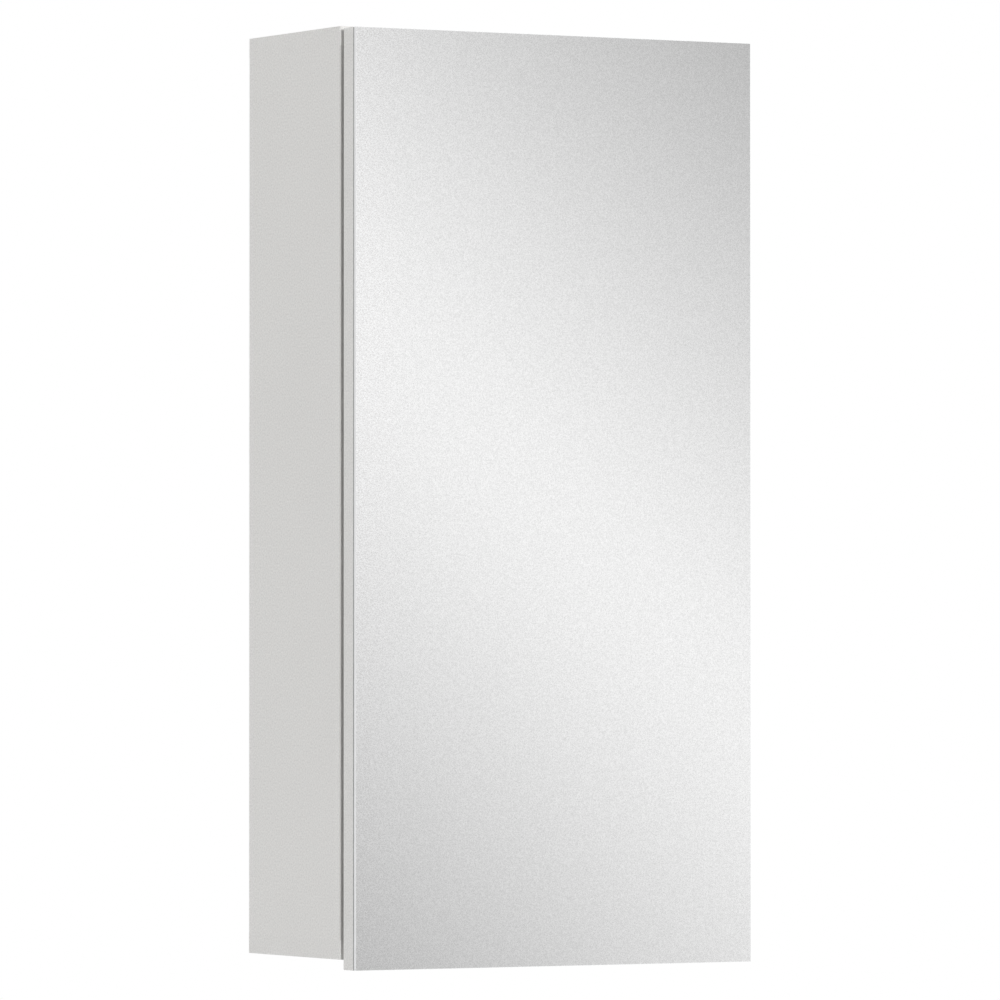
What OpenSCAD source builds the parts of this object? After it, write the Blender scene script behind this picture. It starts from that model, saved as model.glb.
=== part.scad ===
// Wall-hung bathroom mirror cabinet with one full-front mirror door.
// The wall is the plane Y = 0, the front faces -Y and Z = 0 is the line of the wall screws.

/* [Carcass] */
// Width of the cabinet, over its top and bottom boards
cabinet_w = 350; // [320:5:600]
// Height of the carcass, over its top and bottom boards
carcass_h = 710; // [560:1:900]
// Depth of the carcass, from the wall to the front edge of its boards
carcass_d = 149; // [140:1:200]
// Thickness of the carcass boards
board_t = 15; // [15:0.5:18]
// How far the side boards stand back from the edges of the top and bottom boards
side_setback = 0.3; // [0:0.1:1]
// Thickness of the edging strips
edging_t = 0.8; // [0.4:0.1:1.5]
// Thickness of the back panel
back_t = 3; // [2.5:0.5:5]
// Space behind the back panel, up to the wall
back_recess = 14; // [12:0.5:18]
// Depth of the grooves that hold the back panel
groove_depth = 6; // [4:0.5:7]

/* [Door] */
// Air between the carcass and the back of the door
door_gap = 5.3; // [5:0.1:7]
// Thickness of the door board
door_board_t = 15; // [15:0.5:18]
// Thickness of the tape under the mirror
tape_t = 1.3; // [0.5:0.1:2]
// Distance of the tape from the mirror's edge
tape_inset = 0.2; // [0.1:0.1:6]
// Width of a tape strip
tape_w = 20; // [10:1:40]
// Thickness of the mirror glass
glass_t = 3; // [3:0.5:6]
// Bevel along the front edges of the mirror
glass_arris = 0.2; // [0.2:0.1:1]
// How far the door's top edge lies under the carcass top
door_top_drop = 2; // [0:0.5:4]
// How far the door hangs below the carcass as a finger pull
door_overhang = 7.5; // [3:0.5:30]

/* [Shelves] */
// Thickness of a glass shelf
shelf_t = 5; // [4:0.5:6]
// Depth of a glass shelf
shelf_d = 115; // [100:1:117]
// Air at each end of a shelf
shelf_end_gap = 2; // [1:0.5:4]
// Radius of a shelf's front corners
shelf_corner_r = 8; // [2:1:20]
// Diameter of the line holes in the side boards
line_hole_d = 5; // [4:0.5:6]
// Depth of the line holes
line_hole_depth = 10; // [8:0.5:12]
// Pitch of the line holes
line_pitch = 32; // [25:1:40]
// Distance of the front row of line holes from the carcass front
line_front = 37; // [34:1:45]
// Distance between the two rows of line holes
line_rows = 64; // [50:1:70]
// Height of the lowest line hole over the inside of the bottom board
line_first = 42; // [36:1:60]

/* [Hinges] */
// Diameter of the hinge cups
cup_d = 35; // [34:0.5:36]
// Depth of the cup holes in the door board
cup_depth = 12; // [12:0.25:12.5]
// Distance of a cup's centre from the door's edge
cup_from_edge = 22; // [21.5:0.25:23]
// Distance of the door's pivot from its edge
pivot_from_edge = 9.2; // [9:0.1:9.6]
// Depth of the door's pivot in front of the door's back face
pivot_depth = 7.9; // [7.8:0.1:8.2]
// Diameter of the pivot pin
pin_d = 3; // [2.5:0.1:3]

/* [Wall fixing] */
// Distance of the wall screws below the carcass top
screw_drop = 45; // [42:1:60]
// Length of the slot in a wall plate
slot_length = 14; // [10:0.5:16]
// Width of the slot in a wall plate
slot_w = 6; // [5:0.1:7]
// Diameter of the lock screw's hole in a wall plate
lock_hole_d = 5.5; // [4:0.1:6]
// Distance of the lock screw below the wall screws
lock_drop = 18; // [15:1:24]

/* [Hidden] */

$fn = 48;
eps = 0.01;

// Colours
board_white = [0.93, 0.93, 0.92];
edging_white = [0.91, 0.91, 0.90];
part_white = [0.95, 0.95, 0.95];
steel = [0.75, 0.76, 0.78];
nickel = [0.70, 0.69, 0.66];
clear = [0.80, 0.90, 0.88, 0.5];
wood = [0.82, 0.68, 0.48];

// Clearances
loose = 0.3;
snug = 0.05;

// Main planes
top_z = screw_drop;
bottom_z = top_z - carcass_h;
inner_top_z = top_z - board_t;
inner_bottom_z = bottom_z + board_t;
inner_h = inner_top_z - inner_bottom_z;
half_w = cabinet_w / 2;
inner_x = half_w - board_t;
front_y = -carcass_d;
side_front_y = front_y + side_setback;
side_back_y = -side_setback;
back_front_y = -back_recess - back_t;
door_back_y = front_y - door_gap;
door_front_y = door_back_y - door_board_t;
glass_back_y = door_front_y - tape_t;
door_top_z = top_z - door_top_drop;
door_bottom_z = bottom_z - door_overhang;
door_h = door_top_z - door_bottom_z;

// Line holes, shelves and hinges share one grid
line_count = floor((inner_h - 2 * line_first) / line_pitch) + 1;
line_front_y = front_y + line_front;
line_back_y = line_front_y + line_rows;
shelf_step = round((line_count - 1) / 4 + 0.1);
middle_hole = floor((line_count - 1) / 2);
function line_z(k) = inner_bottom_z + line_first + k * line_pitch;
lower_shelf_z = line_z(middle_hole - shelf_step);
middle_shelf_z = line_z(middle_hole);
upper_shelf_z = line_z(middle_hole + shelf_step);
lower_hinge_z = line_z(0) + line_pitch / 2;
upper_hinge_z = line_z(line_count - 2) + line_pitch / 2;

// Shelf pins
peg_len = line_hole_depth - 0.5;
collar_r = line_hole_d / 2 + 1.2;
collar_t = 1.5;
tongue_len = 9;
tongue_w = 6;
tongue_t = 2;
pad_t = 0.8;
pad_inset = 0.5;
shelf_seat = tongue_t / 2 + pad_t;
shelf_back_gap = 2.5;
shelf_back_y = back_front_y - shelf_back_gap;

// Corner joints of the carcass
dowel_d = 6;
dowel_len = 30;
dowel_in_cap = 10;
dowel_end_gap = 0.5;
dowel_front_y = front_y + 26;
dowel_back_y = -30;
cam_d = 15;
cam_depth = 12.5;
cam_from_end = 24;
cam_y = front_y / 2;
cam_bolt_d = 7;
cam_bolt_bore_d = 8;
cam_neck_d = 4;
cam_head_d = 6.4;
cam_head_len = 5;
cam_thread_d = 5;
cam_thread_len = 11;
cam_cover_r = cam_d / 2 + 1;
cam_cover_t = 0.8;
cam_recess_depth = 2;

// Hangers
housing_w = 46;
housing_h = 60;
housing_d = 20;
housing_wall = 2;
housing_r = 3;
housing_top_gap = 1;
housing_top_z = inner_top_z - housing_top_gap;
housing_x = inner_x - housing_w / 2;
housing_back_y = back_front_y - loose;
housing_front_y = housing_back_y - housing_d;
peg_d = 10;
peg_depth = 11;
peg_low = 49;
peg_high = 31;
hook_w = 20;
hook_t = 2.5;
hook_block_t = 4;
hook_window_w = hook_w + 8;
hook_window_h = 30;
hanger_screw_d = 6;
hanger_screw_low = 42;
hanger_screw_high = 18;
hanger_cover_t = 1.2;

// Wall plates
plate_t = 2;
plate_w = 40;
plate_r = 4;
plate_below = 26;
plate_jog_z = 8;
lip_step = 6;
lip_top_z = 24.4;
claw_gap = 0.3;
claw_bottom_z = 14;
lip_front_y = -lip_step - plate_t;
claw_back_y = -lip_step + claw_gap + hook_t;
hook_arm_front_y = housing_front_y + 5;

// Hinges, in the hinge's own plane: u runs inwards from the outer face of the side board,
// v runs forwards from the carcass front
pivot_u = pivot_from_edge;
pivot_v = door_gap + pivot_depth;
cup_flange_t = 1;
cup_wall = 1.1;
cup_floor = 0.8;
cup_body_r = cup_d / 2 - snug;
cup_inner_r = cup_body_r - cup_wall;
cup_floor_v = door_gap + cup_depth - loose;
cup_rim_r = cup_d / 2 + 1.2;
cup_wing_w = 16;
cup_wing_r = 4;
cup_screw_span = 48;
cup_screw_offset = 6;
cup_screw_d = 3.4;
cup_screw_len = 11;
cup_screw_head_d = 7;
cup_screw_head_t = 2;
barrel_r = 2.3;
barrel_half = 5;
cheek_gap = 0.4;
cheek_w = 7;
cheek_h = 6;
pin_half = sqrt(pow(cup_body_r, 2) - pow(cup_from_edge - pivot_u + pin_d / 2, 2)) - snug;
base_t = 2;
saddle_h = 3;
saddle_half = 5.6;
arm_t = 2.5;
arm_bend_r = 1.5;
arm_half = 7.4;
arm_flange_t = 1.5;
arm_back = 62;
arm_u = board_t + base_t + saddle_h + 0.1;
arm_neck_v = -2;
arm_wide_v = -8;
base_half_z = 24;
base_half_v = 7;
base_front = 14;
base_back = 60;
plate_screw_head_d = 10;
plate_screw_head_t = 2.4;
clamp_screw_v = -47;
side_screw_v = -22;
adjust_screw_d = 5;
adjust_head_d = 8;
adjust_head_t = 2.2;

// Magnetic catch on the free side
catch_z = line_z(middle_hole) - line_pitch * 2.5;
catch_w = 14;
catch_h = 44;
catch_len = 30;
catch_wall = 2;
catch_ear_t = 3;
catch_ear_r = 3;
catch_slot_len = 7;
magnet_h = 22;
magnet_t = 5;
magnet_len = 16;
pole_t = 1.5;
pole_proud = 0.4;
strike_t = 1.4;
catch_front = door_gap - strike_t - pole_proud - loose;
strike_w = 12;
strike_h = 34;
catch_screw_d = 3;
catch_screw_span = 34;
catch_screw_head_d = 5.6;
catch_screw_head_t = 1.8;
catch_sink_t = 1.2;

// Cross recess in a screw's head, cut along +Z from the plane Z = 0 downwards
module cross_recess(size, depth) {
    translate([0, 0, -depth / 2 + eps]) {
        cube([size, size * 0.24, depth], center = true);
        cube([size * 0.24, size, depth], center = true);
    }
}

// Pan-head screw along Z with the underside of its head at Z = 0
module pan_screw(shank_d, shank_len, head_d, head_t) {
    difference() {
        union() {
            translate([0, 0, -shank_len]) cylinder(d = shank_d, h = shank_len + eps);
            cylinder(d = head_d, h = head_t * 0.6);
            translate([0, 0, head_t * 0.6]) cylinder(d1 = head_d, d2 = head_d * 0.7, h = head_t * 0.4);
        }
        translate([0, 0, head_t]) cross_recess(head_d * 0.55, head_t * 0.7);
    }
}

// Countersunk screw along Z with its flat top at Z = 0
module flush_screw(shank_d, screw_len, head_d, head_t) {
    difference() {
        union() {
            translate([0, 0, -screw_len]) cylinder(d = shank_d, h = screw_len);
            translate([0, 0, -head_t]) cylinder(d1 = shank_d, d2 = head_d, h = head_t);
        }
        cross_recess(head_d * 0.55, head_t * 0.7);
    }
}

// Flat plate of size [x, z] with round corners, from Y = 0 to Y = t, centred in X and Z
module round_plate(size, r, t) {
    rotate([-90, 0, 0]) linear_extrude(t) rounded_rect(size, r);
}

module rounded_rect(size, r) {
    square([size[0] - 2 * r, size[1]], center = true);
    square([size[0], size[1] - 2 * r], center = true);
    for (x = [-1, 1], y = [-1, 1])
        translate([x * (size[0] / 2 - r), y * (size[1] / 2 - r)]) circle(r);
}

// Slot with round ends that runs along X, centred
module slot_shape(length, width) {
    square([length - width, width], center = true);
    for (x = [-1, 1]) translate([x * (length - width) / 2, 0]) circle(d = width);
}

// Puts a shape that is drawn for the right side on both sides
module both_sides() {
    children();
    mirror([1, 0, 0]) children();
}

// Carcass boards

// Bores in a side board's ends and inner face, drawn for the right side
module side_bores() {
    for (up = [0, 1]) {
        end_z = up ? inner_top_z : inner_bottom_z;
        way = up ? -1 : 1;
        for (y = [dowel_front_y, dowel_back_y])
            translate([half_w - board_t / 2, y, end_z]) mirror([0, 0, up])
                cylinder(d = dowel_d, h = dowel_len - dowel_in_cap + dowel_end_gap);
        translate([half_w - board_t / 2, cam_y, end_z]) mirror([0, 0, up])
            cylinder(d = cam_bolt_bore_d, h = cam_from_end);
        translate([inner_x, cam_y, end_z + way * cam_from_end]) rotate([0, 90, 0])
            cylinder(d = cam_d, h = cam_depth);
    }
    for (k = [0 : line_count - 1], y = [line_front_y, line_back_y])
        translate([inner_x, y, line_z(k)]) rotate([0, 90, 0])
            cylinder(d = line_hole_d, h = line_hole_depth);
    for (drop = [peg_high, peg_low])
        translate([inner_x, housing_back_y - housing_d / 2, housing_top_z - drop])
            rotate([0, 90, 0]) cylinder(d = peg_d, h = peg_depth);
}

module side_panel() {
    color(board_white) difference() {
        translate([inner_x, side_front_y + edging_t, inner_bottom_z])
            cube([board_t, side_back_y - side_front_y - edging_t, inner_h]);
        translate([inner_x - eps, back_front_y - snug, inner_bottom_z - eps])
            cube([groove_depth + eps, back_t + 2 * snug, inner_h + 2 * eps]);
        side_bores();
    }
}

module left_side_panel() {
    mirror([1, 0, 0]) difference() {
        side_panel();
        color(board_white) for (way = [-1, 1])
            translate([inner_x, catch_y(), catch_z + way * catch_screw_span / 2])
                rotate([0, 90, 0]) cylinder(d = catch_screw_d, h = line_hole_depth);
    }
}

module right_side_panel() {
    side_panel();
}

// Core of the top or bottom board, with its inner face at Z = 0 and its body above
module cap_board() {
    color(board_white) difference() {
        translate([-half_w + edging_t, front_y + edging_t, 0])
            cube([cabinet_w - 2 * edging_t, carcass_d - edging_t, board_t]);
        translate([-inner_x - groove_depth, back_front_y - snug, -eps])
            cube([2 * (inner_x + groove_depth), back_t + 2 * snug, groove_depth + eps]);
        both_sides() {
            for (y = [dowel_front_y, dowel_back_y])
                translate([half_w - board_t / 2, y, -eps])
                    cylinder(d = dowel_d, h = dowel_in_cap + dowel_end_gap);
            translate([half_w - board_t / 2, cam_y, -eps])
                cylinder(d = cam_thread_d, h = cam_thread_len + dowel_end_gap);
        }
    }
}

module top_panel() {
    translate([0, 0, inner_top_z]) cap_board();
}

module bottom_panel() {
    translate([0, 0, inner_bottom_z]) mirror([0, 0, 1]) cap_board();
}

// Edging strip round the front and the two ends of a board, from Z = 0 up
module cap_edging() {
    color(edging_white) linear_extrude(board_t) difference() {
        translate([-half_w, front_y]) square([cabinet_w, carcass_d]);
        translate([-half_w + edging_t, front_y + edging_t])
            square([cabinet_w - 2 * edging_t, carcass_d]);
    }
}

module top_edging() {
    translate([0, 0, inner_top_z]) cap_edging();
}

module bottom_edging() {
    translate([0, 0, bottom_z]) cap_edging();
}

module side_edging() {
    color(edging_white) both_sides()
        translate([inner_x, side_front_y, inner_bottom_z]) cube([board_t, edging_t, inner_h]);
}

module back_panel() {
    panel_w = 2 * (inner_x + groove_depth - loose);
    panel_h = inner_h + 2 * (groove_depth - loose);
    color(board_white) difference() {
        translate([-panel_w / 2, back_front_y, inner_bottom_z - groove_depth + loose])
            cube([panel_w, back_t, panel_h]);
        both_sides()
            translate([housing_x, back_front_y - eps, hook_window_z()])
                round_plate([hook_window_w, hook_window_h], housing_r, back_t + 2 * eps);
    }
}

function hook_window_z() = housing_top_z - hook_window_h / 2;

// Joints between the boards

module corner_joints() {
    both_sides() {
        translate([0, 0, inner_top_z]) children();
        translate([0, 0, inner_bottom_z]) mirror([0, 0, 1]) children();
    }
}

module wood_dowels() {
    dowel_tip = 1;
    color(wood) corner_joints()
        for (y = [dowel_front_y, dowel_back_y])
            translate([half_w - board_t / 2, y, dowel_in_cap - dowel_len]) {
                translate([0, 0, dowel_tip]) cylinder(d = dowel_d, h = dowel_len - 2 * dowel_tip);
                cylinder(d1 = dowel_d - dowel_tip, d2 = dowel_d, h = dowel_tip);
                translate([0, 0, dowel_len - dowel_tip])
                    cylinder(d1 = dowel_d, d2 = dowel_d - dowel_tip, h = dowel_tip);
            }
}

// Bolt that screws up into the cap board and hangs its head down into the cam
module cam_bolts() {
    head_low = cam_from_end + cam_head_len / 2;
    shank_len = cam_from_end - cam_d / 2 - loose;
    color(steel) corner_joints()
        translate([half_w - board_t / 2, cam_y, 0]) {
            cylinder(d = cam_thread_d, h = cam_thread_len);
            translate([0, 0, -shank_len]) cylinder(d = cam_bolt_d, h = shank_len);
            translate([0, 0, -head_low]) cylinder(d = cam_neck_d, h = head_low - shank_len + eps);
            translate([0, 0, -head_low]) cylinder(d = cam_head_d, h = cam_head_len);
        }
}

module cam_locks() {
    pocket_d = cam_head_d + 0.8;
    color(nickel) corner_joints()
        translate([inner_x, cam_y, -cam_from_end]) difference() {
            translate([eps, 0, 0]) rotate([0, 90, 0])
                cylinder(d = cam_d - 2 * snug, h = cam_depth - loose);
            translate([board_t / 2, 0, -pocket_d / 2]) cylinder(d = pocket_d, h = pocket_d);
            translate([board_t / 2, 0, 0]) cylinder(d = cam_neck_d + 0.8, h = cam_d);
            rotate([0, -90, 0]) cross_recess(cam_d * 0.5, cam_recess_depth);
        }
}

module cam_covers() {
    color(part_white) corner_joints()
        translate([inner_x, cam_y, -cam_from_end]) rotate([0, -90, 0]) {
            cylinder(r = cam_cover_r, h = cam_cover_t * 0.6);
            translate([0, 0, cam_cover_t * 0.6])
                cylinder(r1 = cam_cover_r, r2 = cam_cover_r - 0.4, h = cam_cover_t * 0.4);
            translate([0, 0, loose - cam_recess_depth]) linear_extrude(cam_recess_depth)
                square([cam_d * 0.4, cam_d * 0.1], center = true);
        }
}

// Hangers, drawn for the right side

module hanger_housing() {
    color(part_white) difference() {
        union() {
            translate([housing_x, housing_front_y, housing_top_z - housing_h / 2])
                round_plate([housing_w, housing_h], housing_r, housing_d);
            for (drop = [peg_high, peg_low])
                translate([inner_x - eps, housing_back_y - housing_d / 2, housing_top_z - drop])
                    rotate([0, 90, 0]) cylinder(d = peg_d - 2 * snug, h = peg_depth - loose);
        }
        translate([housing_x, housing_front_y + housing_wall, housing_top_z - housing_h / 2])
            round_plate([housing_w - 2 * housing_wall, housing_h - 2 * housing_wall],
                housing_r - 1, housing_d);
        for (drop = [hanger_screw_high, hanger_screw_low])
            translate([housing_x, housing_front_y - eps, housing_top_z - drop])
                rotate([-90, 0, 0]) cylinder(d = hanger_screw_d + 2 * snug, h = housing_wall + 2 * eps);
        cover_clips(0);
    }
}

module hanger_housing_left() {
    mirror([1, 0, 0]) hanger_housing();
}

module hanger_housing_right() {
    hanger_housing();
}

// Side profile of the hook: a block inside the housing, an arm through the back panel and a claw
module hook_profile() {
    block_bottom_z = housing_top_z - hanger_screw_low - 6;
    claw_front_y = claw_back_y - hook_t;
    translate([hook_arm_front_y, block_bottom_z])
        square([hook_block_t, lip_top_z + hook_t - block_bottom_z]);
    translate([hook_arm_front_y, lip_top_z]) square([claw_front_y - hook_arm_front_y + eps, hook_t]);
    translate([claw_front_y, lip_top_z]) intersection() {
        circle(hook_t);
        square(hook_t);
    }
    translate([claw_front_y, claw_bottom_z]) square([hook_t, lip_top_z - claw_bottom_z + eps]);
}

module hanger_hook() {
    color(steel) difference() {
        translate([housing_x - hook_w / 2, 0, 0]) rotate([90, 0, 90])
            linear_extrude(hook_w) hook_profile();
        for (drop = [hanger_screw_high, hanger_screw_low])
            translate([housing_x, hook_arm_front_y - eps, housing_top_z - drop])
                rotate([-90, 0, 0]) cylinder(d = hanger_screw_d, h = hook_block_t + 2 * eps);
    }
}

module hanger_hook_left() {
    mirror([1, 0, 0]) hanger_hook();
}

module hanger_hook_right() {
    hanger_hook();
}

module hanger_adjusting_screws() {
    screw_len = hook_arm_front_y + hook_block_t - housing_front_y - housing_wall;
    color(nickel) both_sides()
        for (drop = [hanger_screw_high, hanger_screw_low])
            translate([housing_x, housing_front_y + housing_wall, housing_top_z - drop])
                rotate([90, 0, 0]) difference() {
                    translate([0, 0, -screw_len]) cylinder(d = hanger_screw_d, h = screw_len + housing_wall);
                    translate([0, 0, housing_wall]) cross_recess(hanger_screw_d * 0.7, housing_wall);
                }
}

// Clips of the cover, or the slots for them when they are drawn with more room
module cover_clips(room) {
    clip_w = 8 - 2 * room;
    clip_t = 1.4 - 2 * room;
    for (z = [6, housing_h - 6])
        translate([housing_x, housing_front_y + housing_wall / 2 - eps, housing_top_z - z])
            cube([clip_w, housing_wall + 4 * eps, clip_t], center = true);
}

module hanger_covers() {
    color(part_white) both_sides() {
        translate([housing_x, housing_front_y - hanger_cover_t, housing_top_z - housing_h / 2])
            round_plate([housing_w - 1, housing_h - 1], housing_r, hanger_cover_t);
        cover_clips(0.15);
    }
}

// Wall plate, a pressed strip: base on the wall, a jog and a lip that the claw drops behind
module wall_plate() {
    plate_h = lip_top_z + plate_below;
    color(steel) translate([housing_x, 0, 0]) difference() {
        intersection() {
            translate([-plate_w / 2, 0, 0]) rotate([90, 0, 90]) linear_extrude(plate_w) polygon([
                [0, -plate_below], [0, plate_jog_z], [-lip_step, plate_jog_z + lip_step * 0.6],
                [-lip_step, lip_top_z], [lip_front_y, lip_top_z],
                [lip_front_y, plate_jog_z + lip_step * 0.6 - 0.6], [-plate_t, plate_jog_z - 1],
                [-plate_t, -plate_below]]);
            translate([0, lip_front_y - eps, lip_top_z - plate_h / 2])
                round_plate([plate_w, plate_h], plate_r, 2 * eps - lip_front_y);
        }
        rotate([90, 0, 0]) translate([0, 0, -eps]) {
            linear_extrude(plate_t + 2 * eps) slot_shape(slot_length, slot_w);
            translate([0, -lock_drop, 0]) cylinder(d = lock_hole_d, h = plate_t + 2 * eps);
        }
    }
}

module wall_plate_left() {
    mirror([1, 0, 0]) wall_plate();
}

module wall_plate_right() {
    wall_plate();
}

// Shelves

module glass_shelf(z) {
    shelf_w = 2 * (inner_x - shelf_end_gap);
    color(clear) translate([0, shelf_back_y - shelf_d / 2, z + shelf_seat])
        linear_extrude(shelf_t) {
            rounded_rect([shelf_w, shelf_d], shelf_corner_r);
            translate([-shelf_w / 2, 0]) square([shelf_w, shelf_d / 2]);
        }
}

module glass_shelf_lower() {
    glass_shelf(lower_shelf_z);
}

module glass_shelf_middle() {
    glass_shelf(middle_shelf_z);
}

module glass_shelf_upper() {
    glass_shelf(upper_shelf_z);
}

// Places a shelf pin's shape at the four pins of the shelf whose holes are at height z
module at_pins(z) {
    both_sides() for (y = [line_front_y, line_back_y]) translate([inner_x, y, z]) children();
}

// Peg in the line hole, collar on the board and a round-ended tongue under the shelf
module shelf_pins(z) {
    color(nickel) at_pins(z) {
        rotate([0, 90, 0]) cylinder(d = line_hole_d - 2 * snug, h = peg_len);
        translate([-collar_t, 0, 0]) rotate([0, 90, 0]) cylinder(r = collar_r, h = collar_t);
        translate([-tongue_len + tongue_w / 2, 0, -tongue_t / 2]) {
            cylinder(d = tongue_w, h = tongue_t);
            translate([0, -tongue_w / 2, 0]) cube([tongue_len - tongue_w / 2 - eps, tongue_w, tongue_t]);
        }
    }
}

module shelf_pins_lower() {
    shelf_pins(lower_shelf_z);
}

module shelf_pins_middle() {
    shelf_pins(middle_shelf_z);
}

module shelf_pins_upper() {
    shelf_pins(upper_shelf_z);
}

module shelf_pads() {
    pad_w = tongue_w - 2 * pad_inset;
    color(clear) for (z = [lower_shelf_z, middle_shelf_z, upper_shelf_z]) at_pins(z)
        translate([-tongue_len + tongue_w / 2, 0, tongue_t / 2]) {
            cylinder(d = pad_w, h = pad_t);
            translate([0, -pad_w / 2, 0])
                cube([tongue_len - tongue_w / 2 - collar_t - pad_inset, pad_w, pad_t]);
        }
}

// Hinges: a shape drawn with X as u and Y as v goes to its hinge at height z
module at_hinge(z) {
    translate([half_w, front_y, z]) rotate([0, 0, 180]) children();
}

module at_both_hinges() {
    for (z = [lower_hinge_z, upper_hinge_z]) at_hinge(z) children();
}

// Mounting plate: a cross-shaped base with a saddle for the arm
module hinge_plate() {
    color(nickel) difference() {
        union() {
            translate([board_t, -line_front, 0]) rotate([90, 0, 90])
                linear_extrude(base_t) rounded_rect([2 * base_half_v, 2 * base_half_z], 5);
            translate([board_t, -base_back, -arm_half])
                cube([base_t, base_back - base_front, 2 * arm_half]);
            translate([board_t, -base_back, -saddle_half])
                cube([base_t + saddle_h, base_back - base_front, 2 * saddle_half]);
        }
        for (way = [-1, 1])
            translate([board_t - eps, -line_front, way * line_pitch / 2]) rotate([0, 90, 0])
                cylinder(d = line_hole_d, h = base_t + 2 * eps);
        for (v = [clamp_screw_v, side_screw_v])
            translate([board_t - eps, v, 0]) rotate([0, 90, 0])
                cylinder(d = adjust_screw_d, h = base_t + saddle_h + 2 * eps);
    }
}

module hinge_plate_upper() {
    at_hinge(upper_hinge_z) hinge_plate();
}

module hinge_plate_lower() {
    at_hinge(lower_hinge_z) hinge_plate();
}

module hinge_plate_screws() {
    color(steel) at_both_hinges() for (way = [-1, 1])
        translate([board_t + base_t, -line_front, way * line_pitch / 2]) rotate([0, 90, 0])
            pan_screw(line_hole_d - 2 * snug, base_t + peg_len, plate_screw_head_d, plate_screw_head_t);
}

// Side profile of the gooseneck: barrel at the pivot, a run across the cup, a bend and the web
module gooseneck_profile() {
    run_v = pivot_v - arm_t / 2;
    bend_u = arm_u - arm_bend_r;
    bend_v = run_v - arm_bend_r;
    translate([pivot_u, pivot_v]) circle(barrel_r);
    translate([pivot_u, run_v]) square([bend_u - pivot_u + eps, arm_t]);
    translate([bend_u, bend_v]) intersection() {
        difference() {
            circle(arm_bend_r + arm_t);
            circle(arm_bend_r);
        }
        square(2 * (arm_bend_r + arm_t));
    }
    translate([arm_u, arm_wide_v]) square([arm_t, bend_v - arm_wide_v + eps]);
}

// Arm: the gooseneck, and behind it a channel that straddles the plate's saddle
module hinge_arm() {
    clamp_slot_w = adjust_screw_d + 0.6;
    color(nickel) difference() {
        union() {
            translate([0, 0, -barrel_half]) linear_extrude(2 * barrel_half) gooseneck_profile();
            translate([arm_u, 0, 0]) rotate([90, 0, 90]) linear_extrude(arm_t) polygon([
                [-arm_back, -arm_half], [arm_wide_v, -arm_half], [arm_neck_v, -barrel_half],
                [arm_neck_v, barrel_half], [arm_wide_v, arm_half], [-arm_back, arm_half]]);
            for (way = [-1, 1])
                translate([board_t + base_t + 0.2, -arm_back, way * (arm_half - arm_flange_t / 2)
                    - arm_flange_t / 2])
                    cube([arm_u - board_t - base_t, arm_back + arm_wide_v, arm_flange_t]);
        }
        translate([pivot_u, pivot_v, -barrel_half - eps])
            cylinder(d = pin_d + 2 * snug, h = 2 * barrel_half + 2 * eps);
        translate([arm_u - eps, side_screw_v, 0]) rotate([0, 90, 0])
            cylinder(d = clamp_slot_w, h = arm_t + 2 * eps);
        translate([arm_u - eps, clamp_screw_v, 0]) rotate([0, 90, 0])
            cylinder(d = clamp_slot_w, h = arm_t + 2 * eps);
        translate([arm_u - eps, -arm_back - eps, -clamp_slot_w / 2])
            cube([arm_t + 2 * eps, arm_back + clamp_screw_v, clamp_slot_w]);
    }
}

module hinge_arm_upper() {
    at_hinge(upper_hinge_z) hinge_arm();
}

module hinge_arm_lower() {
    at_hinge(lower_hinge_z) hinge_arm();
}

module hinge_adjusting_screws() {
    color(steel) at_both_hinges() for (v = [clamp_screw_v, side_screw_v])
        translate([arm_u + arm_t, v, 0]) rotate([0, 90, 0])
            pan_screw(adjust_screw_d - 2 * snug, arm_u + arm_t - board_t - 0.5,
                adjust_head_d, adjust_head_t);
}

// Cup: a deep-drawn pot with a screw flange and two cheeks that hold the pin
module hinge_cup() {
    cheek_z = barrel_half + cheek_gap;
    color(steel) difference() {
        union() {
            difference() {
                translate([cup_from_edge, 0, 0]) {
                    translate([0, door_gap - eps, 0]) rotate([-90, 0, 0])
                        cylinder(r = cup_body_r, h = cup_floor_v - door_gap);
                    translate([0, door_gap - cup_flange_t, 0]) cup_flange();
                }
                translate([cup_from_edge, 0, 0]) rotate([-90, 0, 0])
                    cylinder(r = cup_inner_r, h = cup_floor_v - cup_floor);
            }
            intersection() {
                translate([cup_from_edge, door_gap, 0]) rotate([-90, 0, 0])
                    cylinder(r = cup_inner_r + eps, h = cup_depth);
                for (way = [0, 1]) mirror([0, 0, way])
                    translate([0, cup_floor_v - cup_floor - cheek_h, cheek_z])
                        cube([pivot_u + cheek_w / 2, cheek_h + eps, cup_d]);
            }
        }
        translate([pivot_u, pivot_v, -pin_half]) cylinder(d = pin_d, h = 2 * pin_half);
        cup_screw_bores();
    }
}

// Flange of the cup, from Y = 0 to its thickness
module cup_flange() {
    rotate([-90, 0, 0]) linear_extrude(cup_flange_t) {
        circle(cup_rim_r);
        translate([cup_screw_offset, 0])
            rounded_rect([cup_wing_w, cup_screw_span + 2 * cup_wing_r + 4], cup_wing_r);
    }
}

// Puts a shape at both cup screws, on the flange's back face
module cup_screw_places() {
    for (way = [-1, 1])
        translate([cup_from_edge + cup_screw_offset, door_gap - cup_flange_t, way * cup_screw_span / 2])
            children();
}

// Countersunk bores for the cup screws, through the flange and into the door board
module cup_screw_bores() {
    cup_screw_places() rotate([-90, 0, 0]) translate([0, 0, -eps]) {
        cylinder(d = cup_screw_d, h = cup_screw_len + 0.5);
        cylinder(d1 = cup_screw_head_d, d2 = cup_screw_d, h = cup_screw_head_t);
    }
}

module hinge_cup_upper() {
    at_hinge(upper_hinge_z) hinge_cup();
}

module hinge_cup_lower() {
    at_hinge(lower_hinge_z) hinge_cup();
}

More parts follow.
